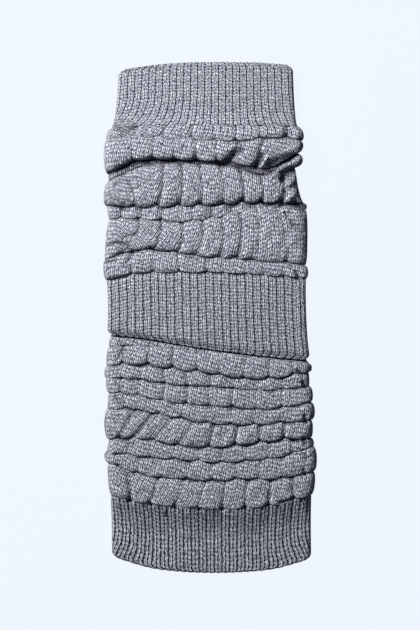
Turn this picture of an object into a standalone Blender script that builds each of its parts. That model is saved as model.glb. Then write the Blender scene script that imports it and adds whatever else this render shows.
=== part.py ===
# Pair of ribbed slouch socks without feet, laid flat in one line on a floor.
# X runs across the socks, Y along them towards the upper hem, Z up from the floor.
# Every length below is in millimetres, and places are measured from the middle of the pair.

import math
from collections import namedtuple

import bmesh
import bpy
import numpy as np

MM = 0.001

# The knit
WALL = 2.2  # one layer of the knit
CUFF = 5.0  # two layers pressed flat, at the top of a rib
RIB_RELIEF = 0.7  # how far a rib stands over the gap beside it
PUFF_RELIEF = 1.5  # how far a puff of the leg stands over the groove beside it
SLIT = 0.7  # the room left between the two layers of a cuff

# How the socks lie
SEAM_GAP = 0.3  # clear space between the two socks where they lap
LAP = CUFF + SEAM_GAP  # height of the upper sock's underside on the lower sock's cuff
RAMP_START = 38.0  # Y at which the upper sock's underside leaves the floor
RAMP_END = 22.5  # Y at which it has reached LAP
SMALLEST_FOLD = 0.9  # least length of a fold where it runs out into its neighbour
FULL_FOLD = 7.0  # a fold longer than this reaches its full height
ROUNDEST_SIDE = 5.5  # largest radius of the rolled sides
HOLLOW = 0.6  # share of a fold's height, less its two walls, that is empty inside
PUFF_MEAN = 0.64  # average of a puff's rounded edge, so that scallops leave the edge's place alone
PUFF_FULLNESS = 0.6  # below 1, a puff is broad and the groove beside it narrow
GROOVE_AT_EDGE = 0.35  # share of a groove's depth that is left at the edge of a fold

# The mesh
FOLD_ROWS = 4
CUFF_ROWS = 3
INNER_ROWS = 2
UNDER_SHARES = (0.025, 0.05, 0.076, 0.2, 0.4, 0.6, 0.8, 0.924, 0.95, 0.975)

# One row for each band of a sock, from its top hem down.
# low: Y of the band's lower edge at seven places from its left side to its right.
# left, right: X of its two sides at mid band; low_left, low_right: at its lower edge.
# crest: height of its top; pinch: height of the knit at its lower edge.
# scallop: how far each puff hangs over the lower edge; shift, slant: of the grooves, in puffs.
Band = namedtuple("Band", "name ribs low left right low_left low_right crest pinch scallop shift slant")

# hem: Y of the top hem at the same seven places; then its two sides.
# front_ribs and front_puffs: how many of them the upper face shows.
Sock = namedtuple("Sock", "name hem hem_left hem_right front_ribs front_puffs lapped bands")

UPPER = Sock(
    "upper_sock", (121.8, 126.0, 127.2, 127.8, 127.8, 127.2, 123.2), -45.2, 41.2, 26, 10, True,
    (
        Band("top_cuff", True, (94.8, 95.8, 96.2, 96.2, 96.2, 96.2, 96.8),
             -46.8, 42.2, -49.5, 43.8, 5.0, 5.2, 0.3, 0.0, 0.0),
        Band("fold_1", False, (89.0, 90.2, 89.2, 88.2, 87.2, 89.2, 88.2),
             -51.8, 46.5, -52.2, 46.0, 8.6, 6.6, 0.4, 0.0, 0.2),
        Band("fold_2", False, (74.8, 77.8, 77.8, 76.8, 75.8, 74.5, 82.2),
             -53.2, 46.8, -51.5, 46.0, 10.5, 5.2, 0.8, -0.1, 0.2),
        Band("tuck_2", False, (73.8, 76.8, 76.8, 75.8, 74.8, 70.8, 75.2),
             -51.0, 46.8, -51.0, 45.0, 9.5, 4.8, 0.3, -0.1, 0.0),
        Band("fold_3", False, (55.8, 54.2, 54.2, 55.2, 55.8, 56.0, 56.8),
             -53.2, 44.0, -52.5, 47.5, 11.0, 6.0, 1.3, -0.2, 0.1),
        Band("fold_4a", False, (48.2, 48.8, 47.2, 48.2, 52.2, 54.2, 55.2),
             -51.2, 48.5, -50.8, 48.5, 9.6, 8.0, 0.8, -0.1, 0.0),
        Band("fold_4", False, (31.5, 32.8, 31.0, 28.5, 27.8, 27.0, 26.2),
             -52.2, 48.8, -53.2, 48.2, 11.0, 6.4, 0.8, -0.3, 0.3),
        Band("fold_5", False, (19.2, 21.2, 21.5, 21.8, 21.8, 20.2, 19.2),
             -53.2, 49.0, -51.8, 48.0, 11.0, 8.8, 0.4, -0.1, 0.0),
        Band("low_cuff", True, (-8.8, -10.5, -13.2, -15.8, -17.8, -19.8, -21.2),
             -51.0, 47.8, -51.5, 50.0, 10.3, 10.3, 0.0, 0.0, 0.0),
    ),
)

LOWER = Sock(
    "lower_sock", (16.8, 17.2, 17.2, 17.2, 17.2, 17.2, 16.8), -48.5, 46.0, 27, 9, False,
    (
        Band("hidden_cuff", True, (-9.8, -11.5, -14.3, -16.8, -18.8, -20.8, -22.3),
             -49.0, 46.5, -50.0, 49.0, 5.0, 4.8, 0.0, 0.0, 0.0),
        Band("tuck_0", False, (-14.8, -14.2, -15.8, -17.5, -19.5, -21.5, -23.0),
             -50.5, 49.5, -51.0, 50.0, 8.5, 6.5, 0.2, 0.0, 0.0),
        Band("fold_1", False, (-24.5, -24.2, -26.5, -28.2, -30.8, -30.8, -27.2),
             -51.8, 51.0, -52.2, 49.8, 10.6, 6.0, 0.9, 0.0, 0.0),
        Band("fold_2", False, (-30.2, -31.5, -34.2, -34.8, -36.0, -36.8, -34.2),
             -52.9, 49.7, -52.5, 50.2, 9.8, 6.0, 0.6, 0.5, 0.0),
        Band("fold_3", False, (-37.8, -39.8, -43.2, -44.5, -46.0, -45.8, -42.2),
             -52.0, 51.5, -51.2, 51.0, 10.0, 6.0, 0.8, 0.5, 0.0),
        Band("fold_4", False, (-45.8, -47.0, -50.5, -53.2, -54.2, -53.2, -51.2),
             -51.1, 52.5, -52.0, 51.2, 10.2, 6.0, 0.8, 0.3, 0.0),
        Band("fold_5", False, (-61.2, -61.2, -64.0, -65.5, -64.2, -62.0, -60.0),
             -52.9, 51.5, -51.0, 51.0, 11.0, 5.8, 1.0, 0.2, -0.3),
        Band("fold_6", False, (-67.2, -69.8, -71.2, -72.8, -72.2, -70.2, -64.2),
             -51.2, 52.0, -52.8, 52.2, 10.2, 6.0, 0.7, 0.1, 0.0),
        Band("fold_7", False, (-72.2, -78.8, -80.8, -82.0, -81.2, -80.8, -76.8),
             -52.9, 53.5, -51.8, 52.5, 10.4, 5.8, 0.8, 0.0, 0.0),
        Band("fold_8", False, (-88.8, -93.0, -94.5, -95.8, -95.5, -93.8, -88.8),
             -52.2, 52.5, -49.8, 50.8, 11.0, 5.0, 0.7, 0.15, -0.2),
        Band("low_cuff", True, (-118.2, -125.1, -127.2, -127.8, -126.9, -124.8, -117.8),
             -49.4, 50.7, -47.5, 50.8, 5.0, 5.0, 0.0, 0.0, 0.0),
    ),
)


def smooth_step(value):
    """Rises softly from 0 to 1 as value goes from 0 to 1."""
    value = np.clip(value, 0.0, 1.0)
    return value * value * (3.0 - 2.0 * value)


def curve_through(values, share):
    """A smooth curve through evenly spaced values, read at share, from 0 at its start to 1 at its end."""
    values = np.asarray(values, float)
    slopes = np.gradient(values)
    place = np.clip(share, 0.0, 1.0) * (len(values) - 1)
    index = np.minimum(place.astype(int), len(values) - 2)
    part = place - index
    rise = part * part * (3.0 - 2.0 * part)
    leave = part * (1.0 - part) ** 2
    arrive = -part * part * (1.0 - part)
    level = values[index] * (1.0 - rise) + values[index + 1] * rise
    return level + slopes[index] * leave + slopes[index + 1] * arrive


def floor_height(sock, y):
    """Height of the surface that the sock lies on."""
    if not sock.lapped:
        return np.zeros_like(y)
    return LAP * smooth_step((RAMP_START - y) / (RAMP_START - RAMP_END))


def ring_shares(sock):
    """How far round the ring each lengthwise line of the mesh runs, on the cuffs and on the leg.

    The upper face is the first half, from the left side over to the right, with two lines to a rib.
    Each groove of the leg falls on one of those lines."""
    lines = 2 * sock.front_ribs
    front = np.arange(lines + 1)
    under = 0.5 + 0.5 * np.array(UNDER_SHARES)
    grooves = np.arange(sock.front_puffs + 1)
    groove_lines = np.round(grooves * lines / sock.front_puffs)
    on_cuff = np.concatenate([0.5 * front / lines, under])
    on_leg = np.concatenate([0.5 * np.interp(front, groove_lines, grooves / sock.front_puffs), under])
    return on_cuff, on_leg


def flat_ring(shares, left, right, round_left, round_right):
    """Points of a flat ring with round sides: x, level from -1 underneath to 1 on top, and the outward way."""
    arc_left = math.pi * round_left / 2.0
    arc_right = math.pi * round_right / 2.0
    flat = right - left - round_left - round_right
    half = arc_left + flat + arc_right
    over = shares <= 0.5
    along = np.where(over, shares, 1.0 - shares) * 2.0 * half
    side = np.where(over, 1.0, -1.0)
    turn_left = np.clip(along / round_left, 0.0, math.pi / 2.0)
    turn_right = np.clip((half - along) / round_right, 0.0, math.pi / 2.0)
    x = left + round_left * (1.0 - np.cos(turn_left)) + np.clip(along - arc_left, 0.0, flat)
    x += round_right * np.cos(turn_right)
    level = side * np.sin(turn_left) * np.sin(turn_right)
    outward_x = np.cos(turn_right) - np.cos(turn_left)
    return x, level, outward_x


def band_edges(sock, number, share, puff_place, weight):
    """Y of the band's upper and lower edge, with the puffs of each band hanging over its lower edge."""
    upper = curve_through(sock.hem, share)
    for band in sock.bands[: number + 1]:
        lower = curve_through(band.low, share)
        lower = lower + weight * band.scallop * (PUFF_MEAN - np.abs(np.sin(math.pi * puff_place)))
        lower = np.minimum(lower, upper - SMALLEST_FOLD)
        edges = (upper, lower)
        upper = lower
    return edges


def outline(sock, number, part):
    """Left and right side of the sock at part of the way down a band."""
    band = sock.bands[number]
    above = sock.bands[number - 1] if number else None
    high_left = above.low_left if above else sock.hem_left
    high_right = above.low_right if above else sock.hem_right
    swell = math.sin(math.pi * part)
    left = high_left * (1.0 - part) + band.low_left * part
    left += swell * (band.left - (high_left + band.low_left) / 2.0)
    right = high_right * (1.0 - part) + band.low_right * part
    right += swell * (band.right - (high_right + band.low_right) / 2.0)
    return left, right


def groove_drift(sock, number, part):
    """How far the grooves stand aside from the ribs, in puffs, at part of the way down a band."""
    band = sock.bands[number]
    if part > 0.0 or number == 0:
        return band.shift + band.slant * (part - 0.5)
    above = sock.bands[number - 1]
    return (above.shift + above.slant / 2.0 + band.shift - band.slant / 2.0) / 2.0


def leg_share(sock, number, part):
    """1 on the gathered leg, 0 on a cuff, and halfway on the edge between them."""
    here = 0.0 if sock.bands[number].ribs else 1.0
    if part > 0.0 or number == 0:
        return here
    return (here + (0.0 if sock.bands[number - 1].ribs else 1.0)) / 2.0


def ring(sock, number, part, inside=False):
    """The points of one ring of the sock, at part of the way down a band, as an array of x, y and z."""
    band = sock.bands[number]
    pinch_above = sock.bands[number - 1].pinch if number else band.crest
    left, right = outline(sock, number, part)
    on_cuff, on_leg = ring_shares(sock)
    leg = leg_share(sock, number, part)
    shares = on_cuff * (1.0 - leg) + on_leg * leg
    puff_place = on_leg * 2.0 * sock.front_puffs
    if inside:
        left += WALL
        right -= WALL
    drift = groove_drift(sock, number, part) / (2.0 * sock.front_puffs)
    shares = (shares + drift) % 1.0

    # The ring's own middle stands for it where one height is enough
    crease = pinch_above * (1.0 - part) + band.pinch * part
    swell = math.sin(math.pi * part)
    middle = np.array([0.5])
    upper, lower = band_edges(sock, number, middle, middle, 0.0)
    travel = part if band.ribs else (1.0 - math.cos(math.pi * part)) / 2.0
    base = float(floor_height(sock, upper + (lower - upper) * travel)[0])
    height = crease + (band.crest - crease) * swell - base
    side = max(SLIT / 2.0, height / 2.0 - WALL) if inside else min(height / 2.0, ROUNDEST_SIDE)
    x, level, outward_x = flat_ring(shares, left, right, side, side)

    share = (x - left) / (right - left)
    weight = 0.0 if inside else np.clip((level + 0.3) / 0.9, 0.0, 1.0)
    upper, lower = band_edges(sock, number, share, puff_place, weight)
    y = upper + (lower - upper) * travel
    grown = np.clip((upper - lower) / FULL_FOLD, 0.0, 1.0) if not band.ribs else 1.0
    top = crease + (band.crest - crease) * swell * grown
    bottom = floor_height(sock, y)
    if inside:
        room = np.maximum(SLIT, HOLLOW * (top - bottom - 2.0 * WALL))
        return np.column_stack([x, y, bottom + WALL + (level + 1.0) / 2.0 * room])

    lines = np.arange(len(x))
    rib_gap = np.where(lines % 2 == 0, RIB_RELIEF, 0.0) * (lines <= 2 * sock.front_ribs)
    groove = PUFF_RELIEF * (1.0 - np.abs(np.sin(math.pi * puff_place)) ** PUFF_FULLNESS)
    groove *= GROOVE_AT_EDGE + (1.0 - GROOVE_AT_EDGE) * swell
    relief = weight * (rib_gap * (1.0 - leg) + groove * leg)
    z = bottom + (level + 1.0) / 2.0 * (top - bottom) - relief * np.clip(level, 0.0, 1.0)
    x = x - relief * outward_x
    return np.column_stack([x, y, z])


def ring_places(sock, fold_rows, cuff_rows):
    """Band number and part of the way down it, for each ring from the top hem to the bottom one."""
    places = []
    for number, band in enumerate(sock.bands):
        rows = cuff_rows if band.ribs else fold_rows
        places += [(number, row / rows) for row in range(rows)]
    places.append((len(sock.bands) - 1, 1.0))
    return places


def next_ring(mesh, verts, points):
    """Extrudes a ring of vertices to the next ring of points and returns its vertices in the same order."""
    edges = [mesh.edges.get(pair) for pair in zip(verts, verts[1:] + verts[:1])]
    made = set(bmesh.ops.extrude_edge_only(mesh, edges=edges)["geom"])
    following = []
    for vertex, point in zip(verts, points):
        ends = [edge.other_vert(vertex) for edge in vertex.link_edges]
        new = next(end for end in ends if end in made)
        new.co = point * MM
        following.append(new)
    return following


def sock_mesh(sock):
    """One closed body: down the outer knit, over the lower hem, up the plain inside and over the upper hem."""
    outer = [ring(sock, *place) for place in ring_places(sock, FOLD_ROWS, CUFF_ROWS)]
    inner = [ring(sock, *place, inside=True) for place in ring_places(sock, INNER_ROWS, 1)]
    mesh = bmesh.new()
    first = bmesh.ops.create_circle(mesh, segments=len(outer[0]), radius=1.0)["verts"]
    for vertex, point in zip(first, outer[0]):
        vertex.co = point * MM
    last = first
    for points in outer[1:] + inner[::-1]:
        last = next_ring(mesh, last, points)
    for near in range(len(first)):
        far = (near + 1) % len(first)
        mesh.faces.new((first[near], first[far], last[far], last[near]))
    bmesh.ops.triangulate(mesh, faces=mesh.faces)
    bmesh.ops.recalc_face_normals(mesh, faces=mesh.faces)
    data = bpy.data.meshes.new(sock.name)
    mesh.to_mesh(data)
    mesh.free()
    return data


def knit_material(name, colour):
    """Matt wool-blend knit."""
    material = bpy.data.materials.new(name)
    material.use_nodes = True
    shader = material.node_tree.nodes["Principled BSDF"]
    shader.inputs["Base Color"].default_value = colour
    shader.inputs["Roughness"].default_value = 0.92
    shader.inputs["Metallic"].default_value = 0.0
    return material


def main():
    for old in list(bpy.context.scene.objects):
        bpy.data.objects.remove(old, do_unlink=True)
    finishes = {
        "upper_sock": knit_material("grey marl knit, upper", (0.24, 0.24, 0.29, 1.0)),
        "lower_sock": knit_material("grey marl knit, lower", (0.22, 0.22, 0.27, 1.0)),
    }
    for sock in (UPPER, LOWER):
        data = sock_mesh(sock)
        data.materials.append(finishes[sock.name])
        item = bpy.data.objects.new(sock.name, data)
        bpy.context.scene.collection.objects.link(item)


main()
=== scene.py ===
"""Looks of a pair of ribbed slouch socks without feet, laid flat end to end on a pale floor.

X runs across the socks, Y along them towards the upper hem, Z up from the floor.
The tables are in millimetres, as in the part's source, and Blender gets metres.
"""

import math
from collections import namedtuple
from types import SimpleNamespace

import bmesh
import bpy
import numpy as np
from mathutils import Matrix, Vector


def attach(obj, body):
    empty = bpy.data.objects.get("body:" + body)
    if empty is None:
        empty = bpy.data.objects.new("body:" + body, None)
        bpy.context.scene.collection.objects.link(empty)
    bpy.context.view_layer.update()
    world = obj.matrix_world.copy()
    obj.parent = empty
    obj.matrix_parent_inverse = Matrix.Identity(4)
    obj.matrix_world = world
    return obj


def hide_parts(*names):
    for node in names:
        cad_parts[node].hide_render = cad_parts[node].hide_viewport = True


bl_info = {
    "name": "Ribbed slouch socks",
    "version": (1, 0, 0),
    "blender": (4, 5, 0),
    "location": "View3D > Sidebar > Socks",
    "description": "A knitted pair of slouch socks with their folds, ribs and stitches",
    "category": "Object",
}

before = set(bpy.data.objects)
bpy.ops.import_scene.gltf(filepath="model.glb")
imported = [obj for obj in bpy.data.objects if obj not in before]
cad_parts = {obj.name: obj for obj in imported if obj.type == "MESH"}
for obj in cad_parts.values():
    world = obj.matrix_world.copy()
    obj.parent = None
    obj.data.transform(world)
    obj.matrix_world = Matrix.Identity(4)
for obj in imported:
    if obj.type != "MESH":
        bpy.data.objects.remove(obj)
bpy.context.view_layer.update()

MM = 0.001

# How the socks are built, as in the part's source
WALL = 2.2  # one layer of the knit
LAP = 5.3  # height of the upper sock's underside on the lower sock's cuff
RAMP_START = 38.0  # Y at which that underside leaves the floor
RAMP_END = 22.5  # Y at which it has reached LAP
SLIT = 0.7  # room left between the two layers of a cuff
SMALLEST_FOLD = 0.2  # least length of a fold that runs out into its neighbour
FULL_FOLD = 7.0  # a longer fold reaches its full height
ROUNDEST_SIDE = 5.5  # largest radius of the rolled sides
HOLLOW = 0.6  # share of the height between a fold's walls that is empty

# How finely they are meshed
POINTS_PER_RIB = 7
UNDER_SIDE = 0.08  # share of the underside at each side with closer points
UNDER_SIDE_POINTS = 14
UNDER_MIDDLE_POINTS = 36
HEM_POINTS = 4
INNER_ROWS = 3
EVEN_ROWS = 0.2  # how evenly a cuff's rows are spaced; 0 crowds them at its edges
SAME_POINT = 1e-7  # metres within which two points of the mesh are one

# How the cloth rolls and gathers
HEM_ROLL = 1.0  # how far the turned edge stands out past the last course
HEM_TEETH = 0.6  # how far each rib's end stands out past the gap beside it
TEETH_START, TEETH_END = 0.12, 0.1  # share of the first and the last cuff that they take
CORNER = 2.6  # rounding of each hem's corners
CORNER_WIDTH = 0.8  # its width, for each millimetre of its height
PLEAT_WIDTH = 0.8  # distance over which a pleat falls away
PLEAT_ROUND = 0.3  # rounding at its bottom
PLEAT_STRENGTH = (0.5, 1.15)  # the weakest and the strongest pleat of a band
PLEATS_MEET = 1.1  # the most that neighbouring pleats add up to
PLEAT_AT_EDGE = 1.9  # how much deeper a pleat is at the edge of its fold
SCALLOP_WIDTH = 2.4  # distance over which a puff's edge turns in to the pleat
SCALLOP_MIDDLE = 0.75  # how much of that turn lies below the band's edge
FLATNESS = 1.8  # 1 for a round fold, more for one with a flatter back
WALE_LEAN = 0.12  # wales that a fold's knit leans over, for each millimetre of it
BELL, BELL_PACE = 0.886, 1.2  # half the area under a swing's bell curve, and how soon it is reached
SHORT_FOLD = 4.0  # a shorter fold swings its courses as if it were this long
NOTCH = 0.9  # how far a crease cuts into the sides of the sock
RELIEF_FROM, RELIEF_OVER = -0.3, 0.9  # level at which the upper face's relief starts, and its rise
LOOSEST = 0.97  # share of its depth that the loosest crease loses
RIB_TOP = 0.55  # 1 for a round rib, less for one with a flatter top
RIBS_RUN_OUT = 1.6  # how soon a cuff's ribs run out in the fold below it

# Ripples of the cloth: height, length of a wave, and first seed.
# The first two heights are shares of a crease's tightness and of a fold's height.
WAVES = 9  # waves that are added up
TIGHTNESS = (0.3, 11.0, 500)
BACK = (0.10, 26.0, 7)
WRINKLES = (0.28, 9.0, 40)
SMALL_WRINKLES = (0.16, 4.5, 80)
CUFF_WAVES = (0.2, 30.0, 120)
UNDERSIDE = (0.125, 12.0, 200)
UNDER_CREASE = 0.8  # height of the shallow creases underneath

# Light that doesn't reach a place, where 1 is all of it
LOWER_CUFF_SHADE = (0.3, 1.7, 1.5)  # painted shade that darkens the lower cuffs: how much, lost in gaps, gained on ribs
IN_PLEAT = 0.7  # lost in a pleat 2 mm deep
DEEPEST_TROUGH = 2.5  # a listed crease gets no darker beyond this depth
TROUGH_DEPTH = 2.8  # depth at which it would lose all light
DEEP_CREASE = 3.0  # a crease this far below the folds beside it is a deep one
CREASE_LINE = 0.45  # painted shade that its bottom loses, but for the ripples
CREASE_LINE_RIPPLES = (0.6, 8.0, 300)
CREASE_LINE_RANGE = (0.05, 0.9)  # the least and the most that it loses with them
CREASE_LINE_WIDTH, CREASE_LINE_WIDER = 0.35, 0.16  # width of that painted line of shade, and more for each mm of its depth
PLEAT_FOOT = 1.5  # lost at the foot of a pleat
INSIDE = 0.25  # lost on the inner wall and on the turned edges

# The stitches, across in wales (two to a rib) and along in courses
CUFF_COURSES = (0.75, 0.5)  # height of a cuff's courses, and more where it is ribbed
BAND_COURSES = 40.0  # courses from one band's start to the next one's
WANDER = (0.45, 0.9, 0.0)  # how far the loops wander aside and along
WANDER_SCALE = 260.0  # bends of it in a metre
HOLE_AT_SIDES = (3.6, 1.6, 0.0)  # how small the holes at a wale's sides are, across and along
HOLE_IN_MIDDLE = (4.6, 2.2, 0.0)  # and those in its middle
HOLE_EDGE = (0.35, 1.05)  # where a hole's edge starts and ends
HOLES_CLOSED = 0.4  # how far the holes of a fully ribbed cuff are closed
STRAND_ROUND = (0.0, 0.2, 0.85, 1.0)  # from a strand's edge to its back, and the height there
RIB_GAP = (0.08, 0.34, 1.0, 0.0)  # where the gap beside a rib starts and ends, and its depth
RIB_SPLIT = (0.7, 0.95, 0.0, 0.6)  # the same for the shallow gap in its middle
CROSSED = (-3.2, 1.8)  # how the loops that cross the gaps close them
STREAKS = (5.2, 1.1, 9.0)  # streaks of fibre across and along, and for each seed
HAIRS = 2100.0  # single hairs in a metre
HAIR_IN_MARL = 0.4  # how much the hairs count beside the streaks
MARL = (0.53, 0.9)  # noise at which the fibre is darkest and lightest
GAP_DEPTH, HAIR_HEIGHT = -0.9, 0.3  # height of a rib gap and of a hair, beside a loop's
UNRIBBED = -0.1  # how much less light the plain knit's loops catch
LIT = (-0.3, 0.8)  # height of the darkest gap and of a fully lit loop
CREASED_LOOPS = (-0.7, 1.45)  # how much less a crease darkens the loops than the holes

# The stage; lengths in metres
CLOUDS = 6.0  # clouds of the floor's acrylic in a metre
CLOUDED = 0.99  # brightness of the floor where it is cloudy
KEY_PLACE = (-0.40, 0.36, 0.45)
KEY_SIZE = 0.28
KEY_COLOUR = (1.0, 0.99, 0.965)
SKY_COLOUR = "#C8DAFF"
LENS = 120.0  # focal length in millimetres
CAMERA_Y = 0.00125  # the photograph's middle
FOLD_HEIGHT = 0.006  # level from which the camera's distance is measured

# One row for each band of a sock, from its top hem down.
# ribs: how open the gaps between its ribs are, 0 on the plain leg; rows: of faces, outside.
# low: Y of its lower edge at seven places from left to right.
# left, right: X of its sides at mid band; low_left, low_right: at its lower edge.
# crest: height of its top; pinch: height of the knit at its lower edge.
# reach: length over which it comes up or down to its crest, or 0 for a round fold.
# lean: how far it hangs over the crease below it; scallop: how far each puff does.
# tight: how tight that crease is at the same seven places, or everywhere.
# depth: of its pleats; fade: 1 where they run out downwards, -1 upwards; bow: how far they
# curve to the right; pleats: X of each at the upper edge, and X of each at the lower edge.
Band = namedtuple(
    "Band",
    "name ribs rows low left right low_left low_right crest pinch reach "
    "lean tight scallop depth fade bow pleats",
    defaults=(0.0, (1.0,), 0.0, 0.0, 0.0, 0.0, ()),
)

# creases: how wide each listed one is, how deep (a ridge less than 0), and its points.
# swings: where the wales swing aside, with the band, X of the middle, how far it reaches, and by
# how many wales to the left at the band's upper and lower edge.
Sock = namedtuple("Sock", "name hem hem_left hem_right front_ribs lapped bands creases swings")

UPPER_BANDS = (
    Band("top_cuff", 0.55, 60, (94.8, 95.8, 96.2, 96.2, 96.2, 96.2, 95.8), -46.8, 42.2, -49.5, 43.8,
        5, 6.6, 6, 0.2),
    Band("fold_1", 0, 24, (89, 90.2, 89.2, 88.2, 87.2, 89.2, 88.2), -51.8, 46.9, -52.2, 46,
        8.6, 5.4, 5, 0.9, (0.4, 0.25, 0.2, 0.3, 0.9, 1.2, 0.9), 0.6, 1.4, -0.35, 0,
        ((-36, -22, -8.5, 2.5, 13, 25.3, 39), (-38, -24, -9, 2.5, 13, 25, 38.5))),
    Band("fold_2", 0, 32, (71.5, 77.6, 78, 77, 75.8, 73.5, 82.2), -53.2, 46.6, -51.5, 43.7,
        10.5, 4.6, 0, 1.3, (1, 1.2, 1.2, 1, 0.6, 0.5, 0.9), 0.7, 1.5, -0.55, 0,
        ((-38.5, -28, -18, -7, 3.5, 14, 27), (-38.5, -28.5, -17.5, -7, 3.5, 10, 22))),
    Band("tuck_2", 0, 14, (68, 75, 77.2, 76.4, 75.2, 70.6, 75.2), -51, 46.5, -51, 43,
        9.5, 4.8, 0, 0.5, (0.8, 1, 1, 0.8, 0.6, 0.8, 1), 0.3, 0.6, 0, 0,
        ((30, 38), (26, 33))),
    Band("fold_3", 0, 48, (55.8, 54.2, 54.2, 55.2, 55.8, 56, 56.8), -53.2, 44, -52.5, 48.5,
        11, 5.4, 0, 1.2, (0.6, 0.8, 1, 1, 1, 0.8, 0.7), 1.1, 1.3, 0, 2.2,
        ((-24.3, -15.2, -6, 3.9, 13.8, 24.2, 34.8, -44), (-27.1, -16, -5.6, 6.3, 15.8, 25, 34.3, -38))),
    Band("fold_4a", 0, 18, (49, 48.6, 47.6, 48.4, 52.2, 54.2, 54.4), -51.2, 48.5, -50.8, 48.5,
        9.8, 7.2, 0, 0.5, (0.7, 0.8, 0.8, 0.6, 0.2, 0.1, 0.5), 0.8, 1.2, 0, 0,
        ((-44, -34.5, -23, -8.5, 1, 10.5, 20, 30, 38), (-44, -34.5, -24, -8.5, 1, 10.5, 20, 30, 38))),
    Band("fold_4", 0, 50, (28.4, 32.8, 31.8, 29.2, 28.2, 27, 25.8), -52.2, 48.8, -53.2, 48.2,
        11, 6.4, 0, 1, (0.6, 1, 0.9, 0.8, 0.9, 0.7, 0.9), 0.6, 1.2, 0.1, 3,
        ((-36, -25.5, -15, -4.5, 4.5, 14, 23, 32.7), (-45, -30, -18, -8.4, 3.5, 12.2, 21, 37.5))),
    Band("fold_5", 0, 26, (18.4, 21.4, 21.8, 21.8, 21.2, 20.1, 19), -53.2, 49, -51.8, 48,
        11, 8.4, 0, 0.6, (1, 0.9, 0.8, 0.8, 0.8, 0.8, 1), 0.4, 1.1, -0.8, 0,
        ((-39, -28, -16, -2, 7, 18, 27, 37), (-39, -28, -15, -1.5, 7, 18, 27, 37))),
    Band("low_cuff", 0.65, 80, (-8.8, -10.5, -13.2, -15.8, -17.8, -19.8, -21.2), -51, 48.2, -51.5, 50.4,
        10.3, 9, 3),
)

UPPER_CREASES = (
    (1.3, 1.5, (-46.5, 95.5), (-41.5, 92.3), (-36.5, 95.2)),
    (1.6, 1.2, (30, 91.5), (36, 91), (40.5, 92.5)),
    (2.1, 2.6, (6.5, 76.5), (10.5, 79.5), (15.5, 83.5)),
    (1.5, 2.6, (23, 75), (25, 78), (26.2, 81)),
    (0.6, -1, (24.6, 73.9), (28.6, 79.5)),
    (2.1, 2.8, (30.2, 76.3), (35.5, 78.5), (41.5, 80.8)),
    (1.5, -2, (31, 70.7), (37.3, 75.6), (45.3, 79.3)),
    (0.7, 1.8, (30.4, 71.9), (35.7, 76.9), (40.5, 78.8)),
    (1.6, 3.6, (36.5, 69.3), (39, 71.8), (42.4, 73.4)),
    (1.5, -1.4, (37.7, 65.5), (43.3, 68.9)),
    (0.9, 1.6, (35.6, 68.5), (37.7, 64.5), (37.7, 60), (35, 55.5)),
    (1.4, -0.8, (38.5, 58.5), (44.5, 64)),
    (1.6, 2.2, (42.5, 57.5), (46.5, 53.5)),
    (1.2, 0.8, (-47, 65.9), (-37.1, 69.1), (-32.7, 67.1), (-37.9, 63.5)),
    (1.2, 0.9, (-50.5, 60.5), (-46, 58), (-43, 56.5)),
    (0.7, 0.9, (-35.9, 49.3), (-34.5, 45.2), (-35.6, 42), (-39.2, 40.6), (-43.3, 39.6)),
    (1, 1.6, (-52, 35.5), (-46, 37), (-41.5, 36), (-38.6, 33.2)),
    (0.9, 1.2, (-38.4, 32), (-40, 29), (-41.5, 27.5), (-38.8, 24)),
    (0.8, 1.6, (-52.5, 27), (-46.5, 28.2)),
    (1, 1.6, (37.5, 52), (42.5, 45.5), (46.5, 42.5)),
    (1.1, 1.8, (43.2, 22.5), (44.2, 19.5)),
)

UPPER_SWINGS = (
    ("top_cuff", -44, 26, 0, 3.4),
    ("top_cuff", 42, 20, 0, -1.2),
    ("fold_1", -40, 22, 0, 1.5),
    ("fold_3", -44, 20, -2, 3),
    ("fold_4", -36, 22, -1, 2),
    ("fold_4", 36, 22, 1.5, -3.5),
    ("fold_2", 34, 16, -0.5, 1.5),
)

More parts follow.
